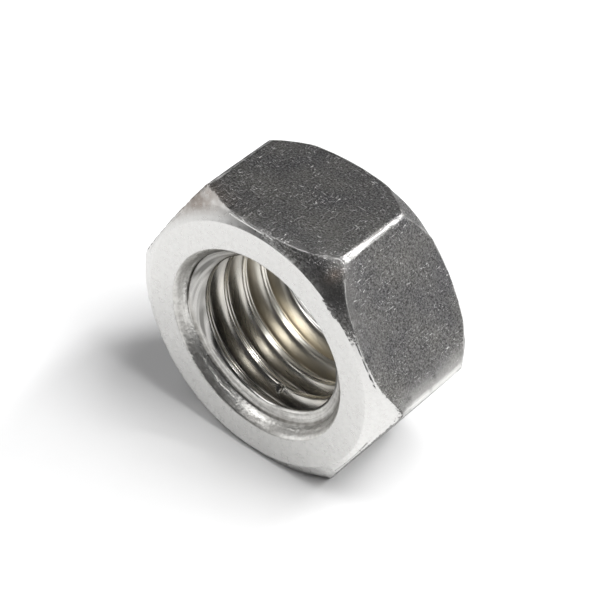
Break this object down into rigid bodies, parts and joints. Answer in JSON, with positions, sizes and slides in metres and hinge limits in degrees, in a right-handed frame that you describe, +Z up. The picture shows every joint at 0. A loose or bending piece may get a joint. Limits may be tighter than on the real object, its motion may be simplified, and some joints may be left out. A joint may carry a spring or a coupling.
{
  "type": "hex nut",
  "caption": "Hexagon nut with chamfered corners, countersunk ends and a right-hand metric thread, standing on one of its flats.",
  "frame": {"origin": "centre of the flat the nut stands on, at floor level", "axes": "+Z up, thread axis along Y, -Y out of the face that carries the grade mark on the real nut"},
  "size_m": [0.024, 0.011, 0.021],
  "materials": {
    "steel": "dull forged flats, turned and satin ends and thread"
  },
  "bodies": {
    "root": {"hex_nut": "steel"}
  },
  "joints": []
}
